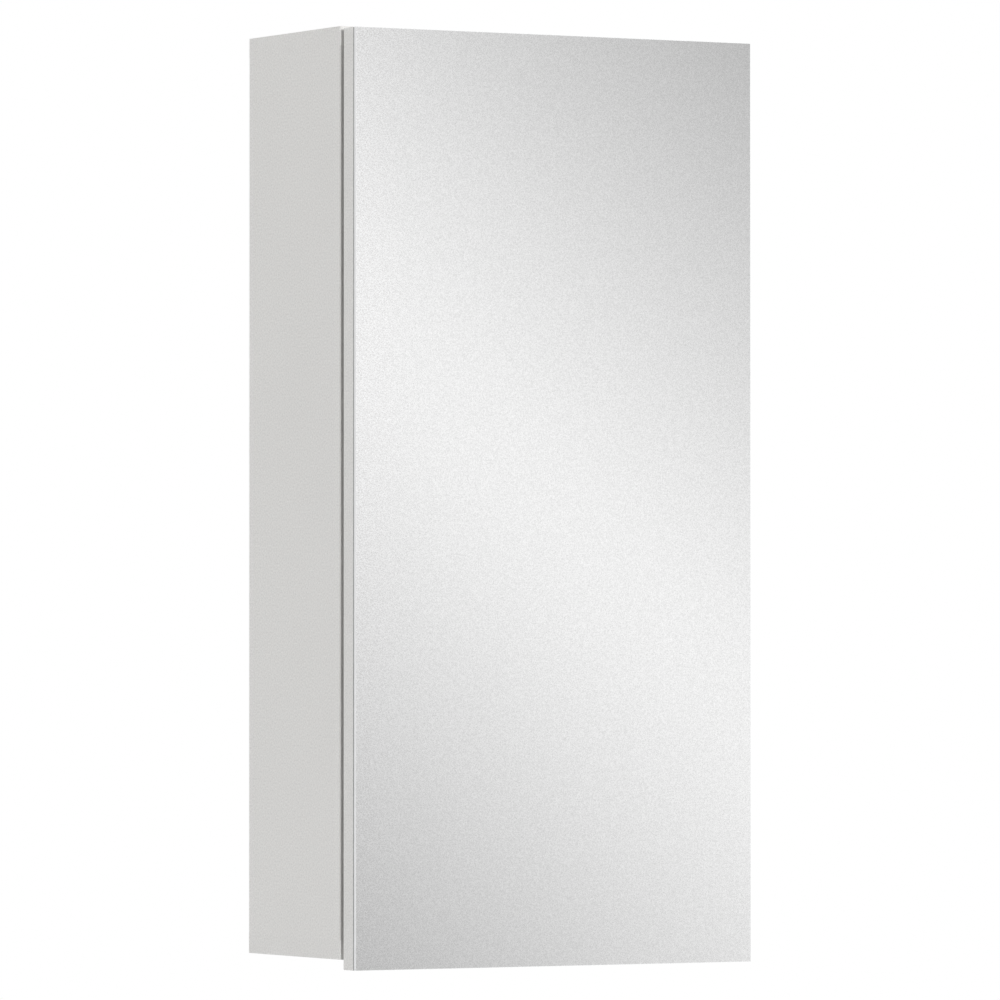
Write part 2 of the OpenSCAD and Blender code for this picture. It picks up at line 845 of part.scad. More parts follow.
module hinge_pin(z) {
    color(steel) at_hinge(z)
        translate([pivot_u, pivot_v, -pin_half]) cylinder(d = pin_d, h = 2 * pin_half);
}

module hinge_pin_upper() {
    hinge_pin(upper_hinge_z);
}

module hinge_pin_lower() {
    hinge_pin(lower_hinge_z);
}

module hinge_cup_screws() {
    color(steel) at_both_hinges() cup_screw_places() rotate([90, 0, 0])
        flush_screw(cup_screw_d - 2 * snug, cup_screw_len, cup_screw_head_d - 2 * snug, cup_screw_head_t);
}

// Magnetic catch on the left side board

function catch_y() = front_y - catch_front + catch_len / 2;

// Box round the magnet, on a foot whose two ears have slots for the screws
module catch_housing() {
    pocket_room = 0.2;
    pocket_w = magnet_t + 2 * (pole_t + pocket_room);
    pocket_h = magnet_h + 2 * pocket_room;
    box_h = pocket_h + 2 * catch_wall;
    mirror([1, 0, 0]) color(part_white) difference() {
        union() {
            translate([inner_x - catch_w, front_y - catch_front, catch_z - box_h / 2])
                cube([catch_w, catch_len, box_h]);
            translate([inner_x - catch_ear_t, catch_y(), catch_z]) rotate([0, 90, 0])
                linear_extrude(catch_ear_t)
                    rounded_rect([catch_h, catch_len - 2 * catch_front], catch_ear_r);
        }
        translate([inner_x - catch_w / 2 - pocket_w / 2, front_y - catch_front - eps,
            catch_z - pocket_h / 2])
            cube([pocket_w, magnet_len + 1, pocket_h]);
        for (way = [-1, 1])
            translate([inner_x - catch_ear_t - eps, catch_y(), catch_z + way * catch_screw_span / 2])
                rotate([90, 0, 90]) linear_extrude(catch_ear_t + 2 * eps)
                    slot_shape(catch_slot_len, catch_screw_d + 0.4);
    }
}

// Places a shape on the middle of the catch's mouth
module at_catch_mouth() {
    mirror([1, 0, 0]) translate([inner_x - catch_w / 2, front_y - catch_front, catch_z]) children();
}

module catch_magnet() {
    color([0.2, 0.2, 0.2]) at_catch_mouth()
        translate([-magnet_t / 2, 0, -magnet_h / 2]) cube([magnet_t, magnet_len, magnet_h]);
}

module catch_poles() {
    color(steel) at_catch_mouth() for (side = [0, 1]) mirror([side, 0, 0])
        translate([magnet_t / 2, -pole_proud, -magnet_h / 2])
            cube([pole_t, magnet_len + pole_proud, magnet_h]);
}

module catch_screws() {
    mirror([1, 0, 0]) color(steel) for (way = [-1, 1])
        translate([inner_x - catch_ear_t, catch_y(), catch_z + way * catch_screw_span / 2])
            rotate([0, -90, 0])
                pan_screw(catch_screw_d - 2 * snug, catch_ear_t + line_hole_depth - 0.5,
                    catch_screw_head_d, catch_screw_head_t);
}

module strike_plate() {
    color(steel) translate([-inner_x + catch_w / 2, door_back_y, catch_z]) difference() {
        round_plate([strike_w, strike_h], 2, strike_t);
        rotate([-90, 0, 0]) translate([0, 0, -eps]) {
            cylinder(d = catch_screw_d + 2 * snug, h = strike_t + 2 * eps);
            translate([0, 0, strike_t - catch_sink_t])
                cylinder(d1 = catch_screw_d, d2 = catch_screw_head_d, h = catch_sink_t + 2 * eps);
        }
    }
}

module strike_screw() {
    color(steel) translate([-inner_x + catch_w / 2, door_back_y + strike_t, catch_z]) rotate([-90, 0, 0])
        flush_screw(catch_screw_d - 2 * snug, strike_t + 8, catch_screw_head_d - loose, catch_sink_t);
}

// Door

module door_panel() {
    color(board_white) difference() {
        translate([-half_w + edging_t, door_front_y, door_bottom_z + edging_t])
            cube([cabinet_w - 2 * edging_t, door_board_t, door_h - 2 * edging_t]);
        at_both_hinges() {
            translate([cup_from_edge, door_gap - eps, 0]) rotate([-90, 0, 0])
                cylinder(d = cup_d, h = cup_depth + eps);
            cup_screw_bores();
        }
        translate([-inner_x + catch_w / 2, door_back_y + eps, catch_z]) rotate([90, 0, 0])
            cylinder(d = catch_screw_d, h = 8.5);
    }
}

module door_edging() {
    color(edging_white) difference() {
        translate([-half_w, door_front_y, door_bottom_z]) cube([cabinet_w, door_board_t, door_h]);
        translate([-half_w + edging_t, door_front_y - eps, door_bottom_z + edging_t])
            cube([cabinet_w - 2 * edging_t, door_board_t + 2 * eps, door_h - 2 * edging_t]);
    }
}

// Tape strips: two long ones at the edges, one in the middle, and a short one at each end
module mirror_tape() {
    strip_h = door_h - 2 * tape_inset;
    between = (cabinet_w - 2 * tape_inset - 3 * tape_w) / 2;
    color([0.15, 0.15, 0.16]) translate([-half_w + tape_inset, glass_back_y, door_bottom_z + tape_inset])
        for (i = [0, 1, 2]) translate([i * (tape_w + between), 0, 0]) {
            cube([tape_w, tape_t, strip_h]);
            if (i < 2) for (z = [0, strip_h - tape_w])
                translate([tape_w, 0, z]) cube([between, tape_t, tape_w]);
        }
}

// Glass edge as a profile: the front corners are bevelled, the back ones only eased
module glass_profile(width) {
    ease = glass_arris / 2;
    polygon([[-width / 2 + ease, 0], [width / 2 - ease, 0], [width / 2, -ease],
        [width / 2, -glass_t + glass_arris], [width / 2 - glass_arris, -glass_t],
        [-width / 2 + glass_arris, -glass_t], [-width / 2, -glass_t + glass_arris],
        [-width / 2, -ease]]);
}

module mirror_glass() {
    middle_z = (door_top_z + door_bottom_z) / 2;
    color([0.78, 0.82, 0.84]) translate([0, glass_back_y, middle_z]) intersection() {
        translate([0, 0, -door_h / 2]) linear_extrude(door_h) glass_profile(cabinet_w);
        rotate([0, 90, 0]) translate([0, 0, -half_w]) linear_extrude(cabinet_w) glass_profile(door_h);
    }
}

// Soft stops on the back of the door that meet the top and bottom boards
module door_bumpers() {
    bumper_r = 4;
    bumper_from_side = 12;
    bumper_h = door_gap - loose;
    color(clear) for (z = [top_z - board_t / 2, bottom_z + board_t / 2])
        translate([-half_w + bumper_from_side, door_back_y, z]) rotate([-90, 0, 0]) {
            cylinder(r = bumper_r, h = bumper_h * 0.6);
            translate([0, 0, bumper_h * 0.6])
                cylinder(r1 = bumper_r, r2 = bumper_r * 0.6, h = bumper_h * 0.4);
        }
}

left_side_panel();
right_side_panel();
top_panel();
bottom_panel();
side_edging();
top_edging();
bottom_edging();
back_panel();
wood_dowels();
cam_bolts();
cam_locks();
cam_covers();
hanger_housing_left();
hanger_housing_right();
hanger_hook_left();
hanger_hook_right();
hanger_adjusting_screws();
hanger_covers();
wall_plate_left();
wall_plate_right();
glass_shelf_lower();
glass_shelf_middle();
glass_shelf_upper();
shelf_pins_lower();
shelf_pins_middle();
shelf_pins_upper();
shelf_pads();
hinge_plate_upper();
hinge_plate_lower();
hinge_plate_screws();
hinge_arm_upper();
hinge_arm_lower();
hinge_adjusting_screws();
catch_housing();
catch_magnet();
catch_poles();
catch_screws();
door_panel();
door_edging();
mirror_tape();
mirror_glass();
hinge_cup_upper();
hinge_cup_lower();
hinge_pin_upper();
hinge_pin_lower();
hinge_cup_screws();
door_bumpers();
strike_plate();
strike_screw();
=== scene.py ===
"""Looks, light and camera for a bathroom mirror cabinet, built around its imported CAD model.

Lengths are in metres and angles in degrees unless a name says otherwise, in the CAD model's
frame: X to the viewer's right, Y into the wall, Z up.
"""

import math

import bpy
from mathutils import Euler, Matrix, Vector

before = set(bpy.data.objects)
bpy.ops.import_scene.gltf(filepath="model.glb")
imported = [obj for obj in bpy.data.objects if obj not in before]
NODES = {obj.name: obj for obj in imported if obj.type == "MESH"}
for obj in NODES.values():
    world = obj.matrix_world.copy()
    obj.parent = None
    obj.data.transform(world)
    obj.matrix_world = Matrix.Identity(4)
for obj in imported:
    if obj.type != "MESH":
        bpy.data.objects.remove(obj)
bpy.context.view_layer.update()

MM = 0.001

# Camera, as fitted to the photograph's edges.
CAMERA_PLACE = (-3.0098, -5.3964, -0.4204)
CAMERA_PITCH = 1.005
CAMERA_HEADING = -29.545
CAMERA_LENS_MM = 282.44
CAMERA_SENSOR_MM = 36.0
CAMERA_REACH = 100.0

# Light levels: a plain white surface renders about as its colour is written.
AMBIENT = 0.29
BACKDROP = 1.0

# Distant lamps: strength, width as an angle, heading (0 is in front, 90 the right), elevation.
LAMPS = {
    "key": (2.35, 16, -4, 8),
    "top": (0.8, 12, 0, 88),
    "fill_left": (0.83, 20, -92, 12),
    "fill_right": (1.0, 20, 92, 20),
    "fill_back": (1.2, 30, 178, 15),
}

# The floor lies far below the hanging cabinet.
FLOOR_Z = -1.75
FLOOR_HALF = 14.0
FLOOR_GLOW = 0.45

# The soft bands of light that the mirror shows, as a function of a ray's direction. Tones
# are as displayed, from 0 to 1, and distances are along the axis across the bands.
BAND_AXIS = (0.57034, 0.39170, 0.72200)
BAND_SHIFT = 0.04309
BAND_PERIOD = 0.19
BAND_TOP = 0.9444
BAND_FALL = 4.208
BAND_ROUNDING = 0.01363
BAND_DEPTH = 0.088
BAND_SOFTNESS = 0.03
DISPLAY_GAMMA = 2.2

# Range of the silvering's fine glitter, and the share of light that it reflects on average.
SILVER_DARK, SILVER_PALE = 0.68, 1.0
SILVER_MEAN = 0.855

# Scale of the fine pressed texture of boards and edging, in waves per metre.
PRESSED_GRAIN = 1.0 / 0.0014
PRESSED_ROUGHNESS = 0.62
PRESSED_DARK, PRESSED_PALE = 0.85, 1.15
# Share of that texture on the front of the edging, and how far a face looks to the front
# or back where the change to that share starts and ends.
EDGING_FRONT_GRAIN = 0.4
EDGING_FRONT_FROM, EDGING_FRONT_TO = 0.3, 0.7

# A noise texture's values lie mostly between the outer two. Flecks and glitter are read
# from a wider span, so that few of them are cut off.
NOISE_LOW, NOISE_MIDDLE, NOISE_HIGH = 0.3, 0.5, 0.7
FLECK_LOW, FLECK_HIGH = 0.25, 0.75

# How far a face looks along its axis to count as a board's coated side, a shelf's clear
# side, the mirror's silvered front or painted back, and its arris.
COATED_FACING = 0.5
CLEAR_FACING = 0.9
MIRROR_FACING = 0.95
ARRIS_FACING = 0.3
# Cut faces this near the wall plane are a board's back edge, which is left white.
BACK_EDGE_REACH = 1 * MM

# How clear the ground edges of the glass shelves are, and how metallic the mirror's arris.
GROUND_CLEARNESS = 0.4
ARRIS_GLOSS = 0.4

# Nodes whose material isn't their slot's: boards by the axis that their coated sides face,
# and the side boards' front edging, made darker to paint the shade in the slit behind the door.
OWN_MATERIALS = {
    "left_side_panel": "white_board_upright",
    "right_side_panel": "white_board_upright",
    "door_panel": "white_board_door",
    "side_edging": "white_edging_side_painted_shade",
}

# Edge radii in millimetres by kind of piece, as moulding, stamping or sanding leaves them.
SOFTENED = (
    (0.12, ("top_edging", "bottom_edging", "side_edging", "door_edging")),
    (0.3, ("hinge_arm_upper", "hinge_arm_lower", "hinge_plate_upper", "hinge_plate_lower")),
    (0.5, ("hanger_housing_left", "hanger_housing_right", "catch_housing")),
    (0.4, ("hanger_covers", "cam_covers")),
    (0.25, ("wall_plate_left", "wall_plate_right", "hanger_hook_left", "hanger_hook_right")),
    (0.25, ("strike_plate",)),
    (0.2, ("catch_magnet", "catch_poles")),
    (0.5, ("glass_shelf_lower", "glass_shelf_middle", "glass_shelf_upper")),
)
# Edges that turn by more than this angle are rounded, once equal corners are welded.
SOFTEN_ABOVE = 35
SOFTEN_SEGMENTS = 2
WELD_REACH = 1e-6

# Pieces that let the lamps' light through.
CLEAR_PIECES = (
    "glass_shelf_lower",
    "glass_shelf_middle",
    "glass_shelf_upper",
    "shelf_pads",
    "door_bumpers",
)


def rgb(red, green, blue):
    """A colour as a four-part socket value."""
    return (red, green, blue, 1.0)


def grey(level):
    """A colour with three equal parts."""
    return rgb(level, level, level)


def shade(colour, factor):
    """The colour made darker or paler by a factor."""
    return tuple(part * factor for part in colour[:3]) + (1.0,)


class Tree:
    """Short calls for building one node tree."""

    def __init__(self, tree):
        """Starts with the tree empty."""
        self.tree = tree
        self.output = None
        tree.nodes.clear()

    def feed(self, node, inputs):
        """Sets a node's sockets, by name or number, to values or to other nodes' outputs."""
        for name, value in inputs.items():
            if isinstance(value, bpy.types.NodeSocket):
                self.tree.links.new(value, node.inputs[name])
            else:
                node.inputs[name].default_value = value

    def node(self, kind, inputs=None, **settings):
        """Adds a node with its settings and its inputs."""
        made = self.tree.nodes.new(kind)
        for name, value in settings.items():
            setattr(made, name, value)
        self.feed(made, inputs or {})
        return made

    def shader(self, kind, inputs=None):
        """Adds a shader node, for its output."""
        return self.node(kind, inputs).outputs[0]

    def mix(self, factor, first, second):
        """A shader between two others, by a factor from 0 to 1."""
        return self.shader("ShaderNodeMixShader", {0: factor, 1: first, 2: second})

    def finish(self, kind, shader):
        """Adds the tree's output node and links a shader to it."""
        self.output = self.node(kind, {"Surface": shader})

    def math(self, operation, first, second=0.0, third=0.0, clamp=False):
        """The result of a sum; clamp keeps it between 0 and 1."""
        inputs = {0: first, 1: second, 2: third}
        made = self.node("ShaderNodeMath", inputs, operation=operation, use_clamp=clamp)
        return made.outputs[0]

    def vector_math(self, operation, first, second, output=0):
        """The result of a sum with vectors or colours."""
        made = self.node("ShaderNodeVectorMath", {0: first, 1: second}, operation=operation)
        return made.outputs[output]

    def part(self, vector, axis):
        """One part of a vector or colour, by the name of its axis."""
        return self.node("ShaderNodeSeparateXYZ", {0: vector}).outputs[axis]

    def place(self):
        """Places in the piece's own frame, in metres."""
        return self.node("ShaderNodeTexCoord").outputs["Object"]

    def facing(self, axis):
        """How far a face looks along an axis of the piece's own frame, from -1 to 1."""
        return self.part(self.node("ShaderNodeTexCoord").outputs["Normal"], axis)

    def stretched(self, vector, scale):
        """Places for a texture that is longer where an axis's scale is smaller."""
        return self.node("ShaderNodeMapping", {"Vector": vector, "Scale": scale}).outputs[0]

    def noise(self, vector, scale, detail=2.0, roughness=0.5):
        """A noise value, with its scale in waves per metre."""
        inputs = {"Vector": vector, "Scale": scale, "Detail": detail, "Roughness": roughness}
        return self.node("ShaderNodeTexNoise", inputs).outputs[0]

    def cells(self, vector, scale, output):
        """A cell texture's Distance or Color, with its scale in cells per metre."""
        inputs = {"Vector": vector, "Scale": scale}
        return self.node("ShaderNodeTexVoronoi", inputs).outputs[output]

    def spread(self, value, low, high, from_low=NOISE_LOW, from_high=NOISE_HIGH):
        """Maps a noise value onto low to high."""
        inputs = {
            "Value": value,
            "From Min": from_low,
            "From Max": from_high,
            "To Min": low,
            "To Max": high,
        }
        return self.node("ShaderNodeMapRange", inputs).outputs[0]

    def blend(self, factor, first, second):
        """A colour between two others, by a factor from 0 to 1."""
        # Sockets 6 and 7, and output 2, are those of the node's colours.
        inputs = {0: factor, 6: first, 7: second}
        return self.node("ShaderNodeMix", inputs, data_type="RGBA").outputs[2]

    def mottled(self, value, first, second):
        """A colour that a noise value moves between two others."""
        return self.blend(self.spread(value, 0.0, 1.0), first, second)

    def clouded(self, place, colour, scale, dark, pale, detail=2.0):
        """The colour with slow changes of tone between two factors."""
        cloud = self.noise(place, scale, detail=detail)
        return self.mottled(cloud, shade(colour, dark), shade(colour, pale))

    def bump(self, height, distance):
        """A normal for relief that is distance deep where height goes from 0 to 1."""
        inputs = {"Height": height, "Distance": distance, "Strength": 1.0}
        return self.node("ShaderNodeBump", inputs).outputs[0]

    def pressed_grain(self, place):
        """The noise value of the pressed texture that boards and edging share."""
        return self.noise(place, PRESSED_GRAIN, roughness=PRESSED_ROUGHNESS)

    def flecked(self, grain, colour):
        """The colour with the fine pale and dark flecks of a pressed surface."""
        tone = self.spread(grain, 0.0, 1.0, FLECK_LOW, FLECK_HIGH)
        fleck = self.blend(tone, grey(PRESSED_DARK), grey(PRESSED_PALE))
        return self.vector_math("MULTIPLY", colour, fleck)


def surface(name, constants):
    """A material with one Principled shader; returns the material, its tree and the shader."""
    material = bpy.data.materials.new(name)
    material.use_nodes = True
    tree = Tree(material.node_tree)
    shader = tree.node("ShaderNodeBsdfPrincipled", constants)
    tree.finish("ShaderNodeOutputMaterial", shader.outputs[0])
    return material, tree, shader


def core_mask(tree, axis):
    """1 on a board's cut faces, such as its bores, and 0 on its coated sides and back edge."""
    cut = tree.math("LESS_THAN", tree.math("ABSOLUTE", tree.facing(axis)), COATED_FACING)
    depth = tree.part(tree.place(), "Y")
    return tree.math("MULTIPLY", cut, tree.math("LESS_THAN", depth, -BACK_EDGE_REACH))


def board_surface(name, colour, axis):
    """Coated board: pressed, with slight clouds of tone, and chipboard where it is cut."""
    material, tree, shader = surface(name, {"IOR": 1.5})
    place = tree.place()
    sheet = tree.clouded(place, colour, scale=9.0, dark=0.99, pale=1.008, detail=3.0)
    grain = tree.pressed_grain(place)
    chips = tree.part(tree.cells(place, 650.0, "Color"), "X")
    core = tree.blend(chips, rgb(0.30, 0.20, 0.11), rgb(0.58, 0.45, 0.29))
    coating = tree.flecked(grain, sheet)
    tree.feed(
        shader,
        {
            "Base Color": tree.blend(core_mask(tree, axis), coating, core),
            "Roughness": tree.spread(grain, 0.37, 0.48),
            "Normal": tree.bump(grain, 0.03 * MM),
        },
    )
    return material


def edging_surface(name, colour):
    """Plastic edging strip: pressed like the board at its ends, and more faintly in front."""
    material, tree, shader = surface(name, {"IOR": 1.5})
    place = tree.place()
    facing = tree.math("ABSOLUTE", tree.facing("Y"))
    share = tree.spread(facing, 1.0, EDGING_FRONT_GRAIN, EDGING_FRONT_FROM, EDGING_FRONT_TO)
    pressed = tree.math("SUBTRACT", tree.pressed_grain(place), NOISE_MIDDLE)
    grain = tree.math("MULTIPLY_ADD", pressed, share, NOISE_MIDDLE)
    strip = tree.clouded(place, colour, scale=40.0, dark=0.985, pale=1.01)
    tree.feed(
        shader,
        {
            "Base Color": tree.flecked(grain, strip),
            "Roughness": tree.spread(grain, 0.38, 0.44),
            "Normal": tree.bump(grain, 0.008 * MM),
        },
    )
    return material


def fibre_board_surface(name, colour):
    """Painted fibre board: mattish, with short fibres showing through the paint."""
    material, tree, shader = surface(name, {"IOR": 1.48})
    place = tree.place()
    lying = tree.stretched(place, (1.0, 1.0, 0.35))
    fibres = tree.noise(lying, 700.0, detail=5.0, roughness=0.7)
    paint = tree.clouded(place, colour, scale=14.0, dark=0.975, pale=1.015, detail=3.0)
    tree.feed(
        shader,
        {
            "Base Color": paint,
            "Roughness": tree.spread(fibres, 0.48, 0.66),
            "Normal": tree.bump(fibres, 0.06 * MM),
        },
    )
    return material


def metal_surface(name, colour, roughness, grain_size, depth):
    """Plated steel: fine roughness marks and slight clouds in the plating."""
    material, tree, shader = surface(name, {"Metallic": 1.0})
    place = tree.place()
    grain = tree.noise(place, 1.0 / grain_size, detail=3.0, roughness=0.6)
    plating = tree.clouded(place, colour, scale=120.0, dark=0.93, pale=1.03, detail=4.0)
    tree.feed(
        shader,
        {
            "Base Color": plating,
            "Roughness": tree.spread(grain, roughness * 0.8, roughness * 1.25),
            "Normal": tree.bump(grain, depth),
        },
    )
    return material


def moulded_surface(name, colour):
    """Moulded plastic with a fine spark-eroded texture."""
    constants = {"IOR": 1.49, "Subsurface Weight": 0.05, "Subsurface Scale": 2 * MM}
    material, tree, shader = surface(name, constants)
    place = tree.place()
    grain = tree.noise(place, 1800.0, detail=3.0)
    tree.feed(
        shader,
        {
            "Base Color": tree.clouded(place, colour, scale=60.0, dark=0.98, pale=1.01),
            "Roughness": tree.spread(grain, 0.34, 0.46),
            "Normal": tree.bump(grain, 0.02 * MM),
        },
    )
    return material


def wood_surface(name, pale, dark):
    """Turned beech: fine grain along the dowel with short darker flecks."""
    material, tree, shader = surface(name, {"IOR": 1.5})
    place = tree.place()
    grain = tree.noise(tree.stretched(place, (0.08, 1.0, 1.0)), 1500.0, detail=4.0)
    flecks = tree.noise(tree.stretched(place, (0.2, 1.0, 1.0)), 3200.0, detail=1.0)
    tone = tree.math("MULTIPLY", tree.spread(grain, 0.0, 1.0), tree.spread(flecks, 0.6, 1.0))
    tree.feed(
        shader,
        {
            "Base Color": tree.blend(tone, dark, pale),
            "Roughness": tree.spread(grain, 0.5, 0.7),
            "Normal": tree.bump(grain, 0.05 * MM),
        },
    )
    return material


def ferrite_surface(name):
    """Sintered ferrite: nearly black, with a grainy break-like skin."""
    material, tree, shader = surface(name, {"IOR": 1.7})
    grain = tree.noise(tree.place(), 2600.0, detail=5.0, roughness=0.7)
    colour = tree.mottled(grain, rgb(0.018, 0.018, 0.019), rgb(0.06, 0.058, 0.056))
    tree.feed(
        shader,
        {
            "Base Color": colour,
            "Roughness": tree.spread(grain, 0.45, 0.7),
            "Normal": tree.bump(grain, 0.05 * MM),
        },
    )
    return material


def foam_tape_surface(name, colour):
    """Foam mounting tape: matt with open cells."""
    material, tree, shader = surface(name, {"IOR": 1.45})
    cells = tree.cells(tree.place(), 2800.0, "Distance")
    tree.feed(
        shader,
        {
            "Base Color": tree.blend(cells, shade(colour, 1.1), shade(colour, 0.7)),
            "Roughness": tree.spread(cells, 0.75, 0.95, 0.0, 1.0),
            "Normal": tree.bump(cells, 0.08 * MM),
        },
    )
    return material


def glass_surface(name):
    """Float glass: clear on its two sides, and green at its finely ground edges."""
    material, tree, shader = surface(name, {"IOR": 1.52})
    place = tree.place()
    edge = tree.math("LESS_THAN", tree.math("ABSOLUTE", tree.facing("Z")), CLEAR_FACING)
    side = tree.math("SUBTRACT", 1.0, edge)
    grind = tree.noise(place, 1500.0, detail=3.0)
    haze = tree.noise(place, 35.0, detail=3.0)
    ground = tree.mottled(grind, rgb(0.44, 0.69, 0.58), rgb(0.53, 0.76, 0.66))
    smooth = tree.math("MULTIPLY", side, tree.spread(haze, 0.004, 0.02))
    rough = tree.math("MULTIPLY", edge, tree.spread(grind, 0.18, 0.34))
    clearness = tree.math("MULTIPLY_ADD", side, 1.0 - GROUND_CLEARNESS, GROUND_CLEARNESS)
    tree.feed(
        shader,
        {
            "Base Color": tree.blend(edge, rgb(0.985, 0.995, 0.99), ground),
            "Transmission Weight": clearness,
            "Roughness": tree.math("ADD", smooth, rough),
        },
    )
    tint = {"Color": rgb(0.62, 0.86, 0.76), "Density": 9.0}
    tree.feed(tree.output, {"Volume": tree.shader("ShaderNodeVolumeAbsorption", tint)})
    return material


def clear_plastic_surface(name):
    """Soft clear plastic: a little milky, with a moulded skin."""
    constants = {"Base Color": rgb(0.93, 0.94, 0.94), "Transmission Weight": 0.85, "IOR": 1.44}
    material, tree, shader = surface(name, constants)
    skin = tree.noise(tree.place(), 900.0, detail=3.0)
    tree.feed(
        shader,
        {"Roughness": tree.spread(skin, 0.12, 0.24), "Normal": tree.bump(skin, 0.02 * MM)},
    )
    return material


def mirror_surface(name):
    """Silvered glass: a mirror in front, grey paint on its back, pale ground glass at the rim."""
    material, tree, shader = surface(name, {"IOR": 1.52})
    place = tree.place()
    facing = tree.facing("Y")
    silvered = tree.math("LESS_THAN", facing, -MIRROR_FACING)
    unsilvered = tree.math("SUBTRACT", 1.0, silvered)
    painted = tree.math("GREATER_THAN", facing, MIRROR_FACING)
    arris = tree.math("MULTIPLY", tree.math("LESS_THAN", facing, -ARRIS_FACING), unsilvered)

    cloud = tree.noise(place, 3.0)
    grind = tree.noise(place, 2200.0, detail=3.0)
    glitter = tree.noise(place, 1300.0, roughness=0.6)
    sparkle = tree.spread(glitter, 0.0, 1.0, FLECK_LOW, FLECK_HIGH)
    silver = tree.blend(sparkle, grey(SILVER_DARK), grey(SILVER_PALE))
    rim = tree.mottled(grind, rgb(0.88, 0.89, 0.90), rgb(0.95, 0.955, 0.96))
    paint = tree.mottled(cloud, rgb(0.16, 0.17, 0.17), rgb(0.20, 0.21, 0.21))
    rest = tree.blend(painted, rim, paint)

    polish = tree.math("MULTIPLY", silvered, tree.spread(cloud, 0.02, 0.03))
    grinding = tree.math("MULTIPLY", unsilvered, tree.spread(grind, 0.16, 0.30))
    arris_gloss = tree.math("MULTIPLY", arris, ARRIS_GLOSS)
    tree.feed(
        shader,
        {
            "Base Color": tree.blend(silvered, rest, silver),
            "Metallic": tree.math("ADD", silvered, arris_gloss, clamp=True),
            "Roughness": tree.math("ADD", polish, grinding),
        },
    )
    return material


def make_materials():
    """One material for each of the record's slots, and some for single boards and strips."""
    white = rgb(0.80, 0.793, 0.775)
    steel = rgb(0.66, 0.67, 0.68)
    nickel = rgb(0.74, 0.72, 0.69)
    return {
        "white_board": board_surface("white_board", white, "Z"),
        "white_board_upright": board_surface("white_board_upright", white, "X"),
        "white_board_door": board_surface("white_board_door", white, "Y"),
        "white_edging": edging_surface("white_edging", shade(white, 0.99)),
        # Painted shade: the side edging is darker only so the slit between door and carcass looks
        # shaded.
        "white_edging_side_painted_shade": edging_surface("white_edging_side_painted_shade", shade(white, 0.89)),
        "back_board": fibre_board_surface("back_board", rgb(0.77, 0.763, 0.745)),
        "beech": wood_surface("beech", rgb(0.66, 0.44, 0.25), rgb(0.42, 0.25, 0.13)),
        "steel": metal_surface("steel", steel, 0.34, 0.8 * MM, 0.02 * MM),
        "nickel": metal_surface("nickel", nickel, 0.24, 1.2 * MM, 0.01 * MM),
        "white_plastic": moulded_surface("white_plastic", rgb(0.79, 0.79, 0.78)),
        "clear_plastic": clear_plastic_surface("clear_plastic"),
        "clear_glass": glass_surface("clear_glass"),
        "magnet": ferrite_surface("magnet"),
        "tape": foam_tape_surface("tape", rgb(0.24, 0.24, 0.245)),
        "mirror": mirror_surface("mirror"),
    }


def dress_nodes(materials):
    """Gives each CAD node its slot's material, or its own, in the place of the plain one."""
    for piece in NODES.values():
        for slot in piece.material_slots:
            slot.material = materials[slot.material.name.split(".")[0]]
    for name, own in OWN_MATERIALS.items():
        NODES[name].material_slots[0].material = materials[own]


def soften(piece, width):
    """Rounds a CAD node's hard edges."""
    weld = piece.modifiers.new("Weld", "WELD")
    weld.merge_threshold = WELD_REACH
    bevel = piece.modifiers.new("Bevel", "BEVEL")
    bevel.width = width
    bevel.segments = SOFTEN_SEGMENTS
    bevel.limit_method = "ANGLE"
    bevel.angle_limit = math.radians(SOFTEN_ABOVE)
    bevel.harden_normals = True


def unscattered(tree, path):
    """1 for rays that no matt surface has scattered yet."""
    return tree.math("LESS_THAN", path["Diffuse Depth"], 0.5)


def seen_directly(tree):
    """1 for rays from the camera, also by way of gloss or glass, and 0 for those that light."""
    path = tree.node("ShaderNodeLightPath").outputs
    first = tree.math("MAXIMUM", path["Is Camera Ray"], path["Is Glossy Ray"])
    straight = tree.math("MAXIMUM", first, path["Is Transmission Ray"])
    return tree.math("MULTIPLY", straight, unscattered(tree, path))


def floor_surface():
    """Pale and lifted to white where it is seen, with the shadows kept, and clear from below."""
    material = bpy.data.materials.new("floor")
    material.use_nodes = True
    tree = Tree(material.node_tree)
    colour = tree.mottled(tree.noise(tree.place(), 1.5, detail=3.0), grey(0.67), grey(0.69))
    matt = tree.shader("ShaderNodeBsdfDiffuse", {"Color": colour})
    glow = tree.shader("ShaderNodeEmission", {"Color": grey(1.0), "Strength": FLOOR_GLOW})
    dark = tree.shader("ShaderNodeEmission", {"Strength": 0.0})
    lift = tree.mix(seen_directly(tree), dark, glow)
    lit = tree.shader("ShaderNodeAddShader", {0: matt, 1: lift})
    below = tree.node("ShaderNodeNewGeometry").outputs["Backfacing"]
    clear = tree.shader("ShaderNodeBsdfTransparent")
    tree.finish("ShaderNodeOutputMaterial", tree.mix(below, lit, clear))
    return material


def make_floor():
    """A pale floor, which keeps the cabinet's shadow."""
    mesh = bpy.data.meshes.new("floor")
    corners = [
        (x * FLOOR_HALF, y * FLOOR_HALF, FLOOR_Z) for x, y in ((-1, -1), (1, -1), (1, 1), (-1, 1))
    ]
    mesh.from_pydata(corners, [], [(0, 1, 2, 3)])
    mesh.materials.append(floor_surface())
    floor = bpy.data.objects.new("floor", mesh)
    floor.visible_glossy = False
    bpy.context.scene.collection.objects.link(floor)


